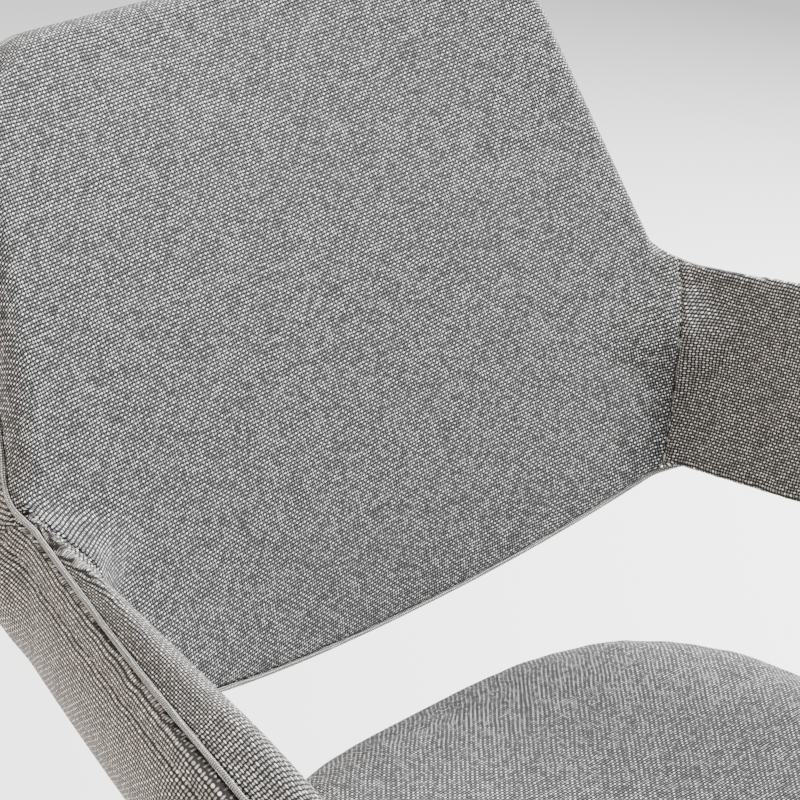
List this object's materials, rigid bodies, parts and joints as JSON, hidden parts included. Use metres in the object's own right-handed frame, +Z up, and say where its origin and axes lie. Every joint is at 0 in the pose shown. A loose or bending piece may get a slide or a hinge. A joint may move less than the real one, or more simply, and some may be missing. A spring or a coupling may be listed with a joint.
{
  "type": "swivel office chair",
  "caption": "Upholstered swivel office chair: curved back running into open arms, separate rounded seat pad, tilt mechanism, gas height column and a star base on twin-wheel casters.",
  "frame": {"origin": "centre of the whole object's box at floor level", "axes": "+Z up, the sitter faces -Y, +X is the sitter's left"},
  "size_m": [0.6724, 0.736, 0.8394],
  "materials": {
    "fabric": "grey heather plain weave, matt",
    "fabric_outer": "the same weave, a little warmer on the outside of the shell",
    "felt": "thin black non-woven dust cover",
    "plywood": "birch plywood, unfinished",
    "aluminium": "polished die-cast",
    "chrome": "mirror chrome plate",
    "black_steel": "satin black powder coat",
    "steel": "bright zinc plate",
    "black_nylon": "moulded black nylon",
    "tread": "soft dark grey tread"
  },
  "bodies": {
    "base": {"star_base": "aluminium", "column_tube": "black_steel", "guide_bush": "black_nylon", "thrust_bearing": "steel"},
    "caster_1": {"caster_1_stem": "steel", "caster_1_hood": "black_nylon", "caster_1_axle": "steel"},
    "wheel_1_left": {"caster_1_wheel_left": "tread"},
    "wheel_1_right": {"caster_1_wheel_right": "tread"},
    "caster_2": {"caster_2_stem": "steel", "caster_2_hood": "black_nylon", "caster_2_axle": "steel"},
    "wheel_2_left": {"caster_2_wheel_left": "tread"},
    "wheel_2_right": {"caster_2_wheel_right": "tread"},
    "caster_3": {"caster_3_stem": "steel", "caster_3_hood": "black_nylon", "caster_3_axle": "steel"},
    "wheel_3_left": {"caster_3_wheel_left": "tread"},
    "wheel_3_right": {"caster_3_wheel_right": "tread"},
    "caster_4": {"caster_4_stem": "steel", "caster_4_hood": "black_nylon", "caster_4_axle": "steel"},
    "wheel_4_left": {"caster_4_wheel_left": "tread"},
    "wheel_4_right": {"caster_4_wheel_right": "tread"},
    "caster_5": {"caster_5_stem": "steel", "caster_5_hood": "black_nylon", "caster_5_axle": "steel"},
    "wheel_5_left": {"caster_5_wheel_left": "tread"},
    "wheel_5_right": {"caster_5_wheel_right": "tread"},
    "spindle": {"piston_rod": "chrome", "piston": "steel", "retaining_clip": "steel"},
    "upper": {"gas_cylinder": "chrome", "cylinder_gland": "black_nylon", "mechanism_housing": "black_steel", "tilt_pin": "steel", "pin_clip_left": "steel", "pin_clip_right": "steel", "tension_spring": "steel", "spring_seat": "steel"},
    "valve": {"valve_button": "steel"},
    "tension": {"tension_bolt": "steel", "tension_knob": "black_nylon"},
    "lever": {"lever_yoke": "black_steel"},
    "handle": {"lever_rod": "chrome", "lever_paddle": "black_nylon"},
    "seat": {"seat_plate": "black_steel", "seat_board": "plywood", "seat_bolt_1": "steel", "seat_bolt_2": "steel", "seat_bolt_3": "steel", "seat_bolt_4": "steel", "dust_cover": "felt", "seat_cushion": "fabric", "back_pad": "fabric", "back_shell": "fabric_outer", "left_arm": "fabric_outer", "right_arm": "fabric_outer", "left_arm_bracket": "black_steel", "right_arm_bracket": "black_steel"}
  },
  "joints": [
    {"name": "caster_1_swivel", "type": "hinge", "parent": "base", "child": "caster_1", "pos_m": [0, -0.32198, 0.06], "axis": [0, 0, 1], "continuous": true},
    {"name": "wheel_1_left_spin", "type": "hinge", "parent": "caster_1", "child": "wheel_1_left", "pos_m": [0, -0.33898, 0.025], "axis": [1, 0, 0], "continuous": true},
    {"name": "wheel_1_right_spin", "type": "hinge", "parent": "caster_1", "child": "wheel_1_right", "pos_m": [0, -0.33898, 0.025], "axis": [1, 0, 0], "continuous": true},
    {"name": "caster_2_swivel", "type": "hinge", "parent": "base", "child": "caster_2", "pos_m": [0.2663, -0.12851, 0.06], "axis": [0, 0, 1], "continuous": true},
    {"name": "wheel_2_left_spin", "type": "hinge", "parent": "caster_2", "child": "wheel_2_left", "pos_m": [0.28246, -0.13376, 0.025], "axis": [0.309, 0.9511, 0], "continuous": true},
    {"name": "wheel_2_right_spin", "type": "hinge", "parent": "caster_2", "child": "wheel_2_right", "pos_m": [0.28246, -0.13376, 0.025], "axis": [0.309, 0.9511, 0], "continuous": true},
    {"name": "caster_3_swivel", "type": "hinge", "parent": "base", "child": "caster_3", "pos_m": [0.16458, 0.18454, 0.06], "axis": [0, 0, 1], "continuous": true},
    {"name": "wheel_3_left_spin", "type": "hinge", "parent": "caster_3", "child": "wheel_3_left", "pos_m": [0.17457, 0.1983, 0.025], "axis": [-0.809, 0.5878, 0], "continuous": true},
    {"name": "wheel_3_right_spin", "type": "hinge", "parent": "caster_3", "child": "wheel_3_right", "pos_m": [0.17457, 0.1983, 0.025], "axis": [-0.809, 0.5878, 0], "continuous": true},
    {"name": "caster_4_swivel", "type": "hinge", "parent": "base", "child": "caster_4", "pos_m": [-0.16458, 0.18454, 0.06], "axis": [0, 0, 1], "continuous": true},
    {"name": "wheel_4_left_spin", "type": "hinge", "parent": "caster_4", "child": "wheel_4_left", "pos_m": [-0.17457, 0.1983, 0.025], "axis": [-0.809, -0.5878, 0], "continuous": true},
    {"name": "wheel_4_right_spin", "type": "hinge", "parent": "caster_4", "child": "wheel_4_right", "pos_m": [-0.17457, 0.1983, 0.025], "axis": [-0.809, -0.5878, 0], "continuous": true},
    {"name": "caster_5_swivel", "type": "hinge", "parent": "base", "child": "caster_5", "pos_m": [-0.2663, -0.12851, 0.06], "axis": [0, 0, 1], "continuous": true},
    {"name": "wheel_5_left_spin", "type": "hinge", "parent": "caster_5", "child": "wheel_5_left", "pos_m": [-0.28246, -0.13376, 0.025], "axis": [0.309, -0.9511, 0], "continuous": true},
    {"name": "wheel_5_right_spin", "type": "hinge", "parent": "caster_5", "child": "wheel_5_right", "pos_m": [-0.28246, -0.13376, 0.025], "axis": [0.309, -0.9511, 0], "continuous": true},
    {"name": "column_swivel", "type": "hinge", "parent": "base", "child": "spindle", "pos_m": [0, -0.04198, 0.2], "axis": [0, 0, 1], "continuous": true},
    {"name": "height", "type": "slide", "parent": "spindle", "child": "upper", "axis": [0, 0, 1], "range_m": [0, 0.1]},
    {"name": "lever_lift", "type": "hinge", "parent": "upper", "child": "lever", "pos_m": [-0.04, -0.04198, 0.328], "axis": [0, 1, 0], "range_deg": [0, 5], "stiffness_Nm_per_rad": 3, "springref_deg": -5.73},
    {"name": "lock_slide", "type": "slide", "parent": "lever", "child": "handle", "axis": [-1, 0, 0], "range_m": [0, 0.012]},
    {"name": "valve_press", "type": "slide", "parent": "upper", "child": "valve", "axis": [0, 0, -1], "range_m": [0, 0.004], "stiffness_N_per_m": 400, "springref_m": -0.002},
    {"name": "tension_turn", "type": "hinge", "parent": "upper", "child": "tension", "pos_m": [0, 0.00702, 0.284], "axis": [0, 0, 1], "continuous": true},
    {"name": "tilt", "type": "hinge", "parent": "upper", "child": "seat", "pos_m": [0, -0.11698, 0.352], "axis": [-1, 0, 0], "range_deg": [0, 12], "stiffness_Nm_per_rad": 120, "springref_deg": -20.05, "deforming": ["tension_spring"]}
  ],
  "couplings": [
    {"joint": "valve_press", "follows": "lever_lift", "m_per_rad": 0.044}
  ]
}
